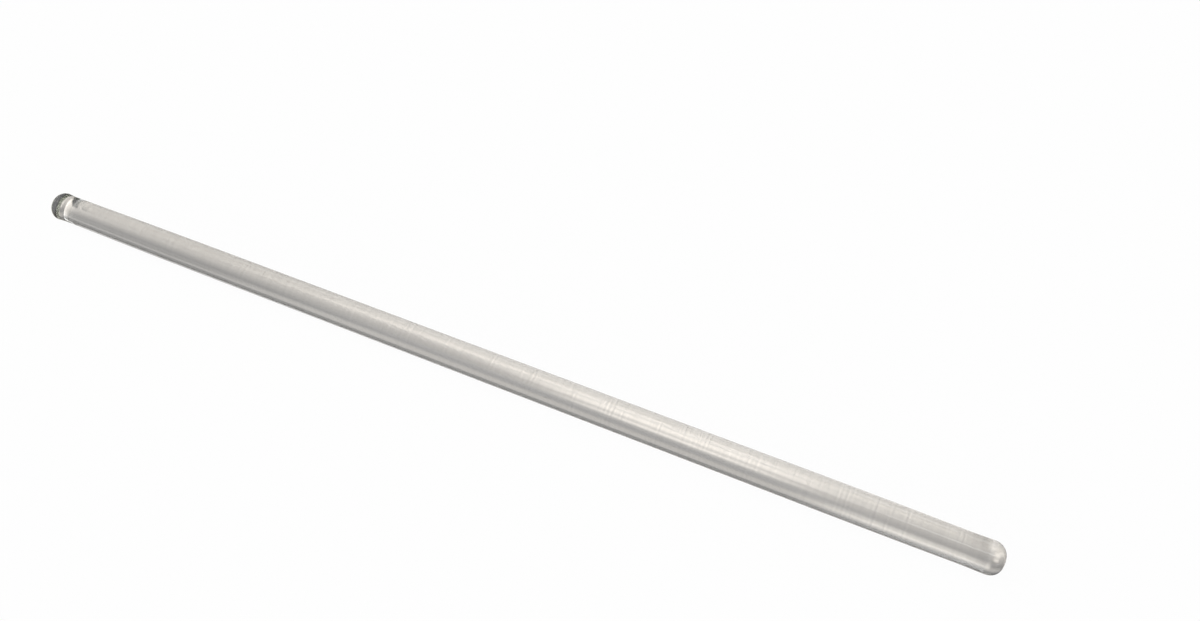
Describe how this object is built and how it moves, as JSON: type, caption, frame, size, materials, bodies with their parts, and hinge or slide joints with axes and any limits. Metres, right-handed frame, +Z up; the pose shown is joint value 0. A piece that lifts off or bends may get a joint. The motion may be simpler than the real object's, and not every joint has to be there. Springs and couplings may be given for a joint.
{
  "type": "glass stirring rod",
  "caption": "Straight solid glass stirring rod with fire-polished ends, each behind a shallow neck, one tip squarer than the other.",
  "frame": {"origin": "middle of the rod, on its axis", "axes": "+X along the rod from the short end to the round end; Y and Z across it, +Z up as it lies on a bench"},
  "size_m": [0.2, 0.0058, 0.006],
  "materials": {
    "clear_glass": "fire-polished, smooth and clear"
  },
  "bodies": {
    "root": {"glass_rod": "clear_glass"}
  },
  "joints": []
}
